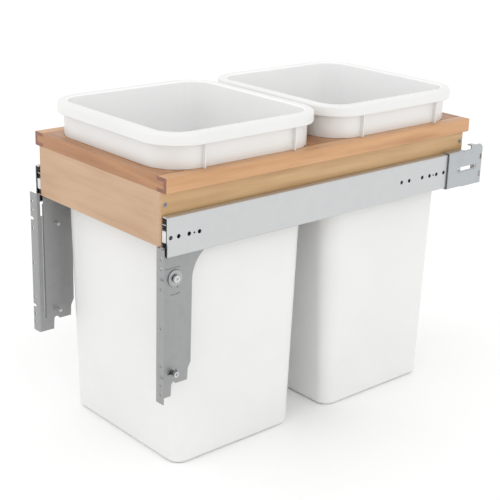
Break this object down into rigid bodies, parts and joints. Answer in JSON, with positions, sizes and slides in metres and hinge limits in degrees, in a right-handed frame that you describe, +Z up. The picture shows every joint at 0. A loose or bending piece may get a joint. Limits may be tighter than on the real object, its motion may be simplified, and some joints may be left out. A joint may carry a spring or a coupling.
{
  "type": "pull-out waste bin unit",
  "caption": "Top-mount pull-out waste unit: a maple frame on full-extension slides carries two lift-out bins, with steel brackets for the cabinet back and door.",
  "frame": {"origin": "centre of the four screw holes on the back of the rear brackets, on the cabinet back wall", "axes": "+X to the unit's right seen from the front door side, +Y towards the cabinet back wall, +Z up; the unit pulls out along -Y"},
  "size_m": [0.3016, 0.6, 0.452],
  "materials": {
    "maple_rail": "clear satin lacquer",
    "birch_side": "clear satin lacquer",
    "birch_end": "clear satin lacquer",
    "bin_plastic": "fine satin moulding",
    "slide_zinc": "bright zinc plate",
    "slide_zinc_inner": "bright zinc plate",
    "cage_plastic": "moulded",
    "ball_steel": "polished",
    "cap_plastic": "moulded",
    "nylon": "moulded",
    "damper_plastic": "moulded",
    "bracket_zinc": "zinc plate",
    "plate_steel": "dull zinc plate",
    "screw_zinc": "zinc plate",
    "bush_steel": "dull zinc plate"
  },
  "bodies": {
    "rear_brackets": {"rear_bracket_right": "bracket_zinc", "rear_bracket_left": "bracket_zinc"},
    "cabinet_members": {"slide_outer_right": "slide_zinc", "slide_outer_left": "slide_zinc", "damper_body_right": "damper_plastic", "damper_body_left": "damper_plastic", "damper_rod_right": "ball_steel", "damper_rod_left": "ball_steel"},
    "middle_members": {"slide_middle_right": "slide_zinc_inner", "slide_middle_left": "slide_zinc_inner", "middle_end_cap_right": "cap_plastic", "middle_end_cap_left": "cap_plastic"},
    "outer_cages": {"ball_cage_outer_right": "cage_plastic", "ball_cage_outer_left": "cage_plastic", "balls_outer_right": "ball_steel", "balls_outer_left": "ball_steel"},
    "inner_cages": {"ball_cage_inner_right": "cage_plastic", "ball_cage_inner_left": "cage_plastic", "balls_inner_right": "ball_steel", "balls_inner_left": "ball_steel"},
    "drawer": {"top_rail_right": "maple_rail", "top_rail_left": "maple_rail", "top_rail_front": "maple_rail", "top_rail_rear": "maple_rail", "top_rail_middle": "maple_rail", "side_apron_right": "birch_side", "side_apron_left": "birch_side", "front_apron": "birch_end", "rear_apron": "birch_end", "slide_inner_right": "slide_zinc_inner", "slide_inner_left": "slide_zinc_inner", "front_bumper_right": "nylon", "front_bumper_left": "nylon", "hanger_plate_right": "plate_steel", "hanger_plate_left": "plate_steel", "pivot_screws": "screw_zinc", "pivot_washers": "screw_zinc", "clamp_screws": "screw_zinc", "clamp_bushes": "bush_steel", "apron_screws": "screw_zinc", "hanger_screws": "screw_zinc", "slide_screws": "screw_zinc"},
    "front_bin": {"bin_front": "bin_plastic"},
    "rear_bin": {"bin_rear": "bin_plastic"},
    "right_door_bracket": {"door_bracket_right": "plate_steel"},
    "left_door_bracket": {"door_bracket_left": "plate_steel"}
  },
  "joints": [
    {"name": "bracket_depth", "type": "slide", "parent": "rear_brackets", "child": "cabinet_members", "axis": [0, -1, 0], "range_m": [-0.008, 0.01]},
    {"name": "drawer_slide", "type": "slide", "parent": "cabinet_members", "child": "drawer", "axis": [0, -1, 0], "range_m": [0, 0.53]},
    {"name": "middle_slide", "type": "slide", "parent": "cabinet_members", "child": "middle_members", "axis": [0, -1, 0], "range_m": [0, 0.265]},
    {"name": "outer_cage_slide", "type": "slide", "parent": "cabinet_members", "child": "outer_cages", "axis": [0, -1, 0], "range_m": [0, 0.1325]},
    {"name": "inner_cage_slide", "type": "slide", "parent": "cabinet_members", "child": "inner_cages", "axis": [0, -1, 0], "range_m": [0, 0.3975]},
    {"name": "front_bin_lift", "type": "slide", "parent": "drawer", "child": "front_bin", "axis": [0, 0, 1], "range_m": [0, 0.43]},
    {"name": "rear_bin_lift", "type": "slide", "parent": "drawer", "child": "rear_bin", "axis": [0, 0, 1], "range_m": [0, 0.43]},
    {"name": "right_door_tilt", "type": "hinge", "parent": "drawer", "child": "right_door_bracket", "pos_m": [0.1359, -0.572, -0.0575], "axis": [1, 0, 0], "range_deg": [-2, 2]},
    {"name": "left_door_tilt", "type": "hinge", "parent": "drawer", "child": "left_door_bracket", "pos_m": [-0.1359, -0.572, -0.0575], "axis": [1, 0, 0], "range_deg": [-2, 2]}
  ],
  "couplings": [
    {"joint": "middle_slide", "follows": "drawer_slide", "ratio": 0.5},
    {"joint": "outer_cage_slide", "follows": "drawer_slide", "ratio": 0.25},
    {"joint": "inner_cage_slide", "follows": "drawer_slide", "ratio": 0.75}
  ]
}
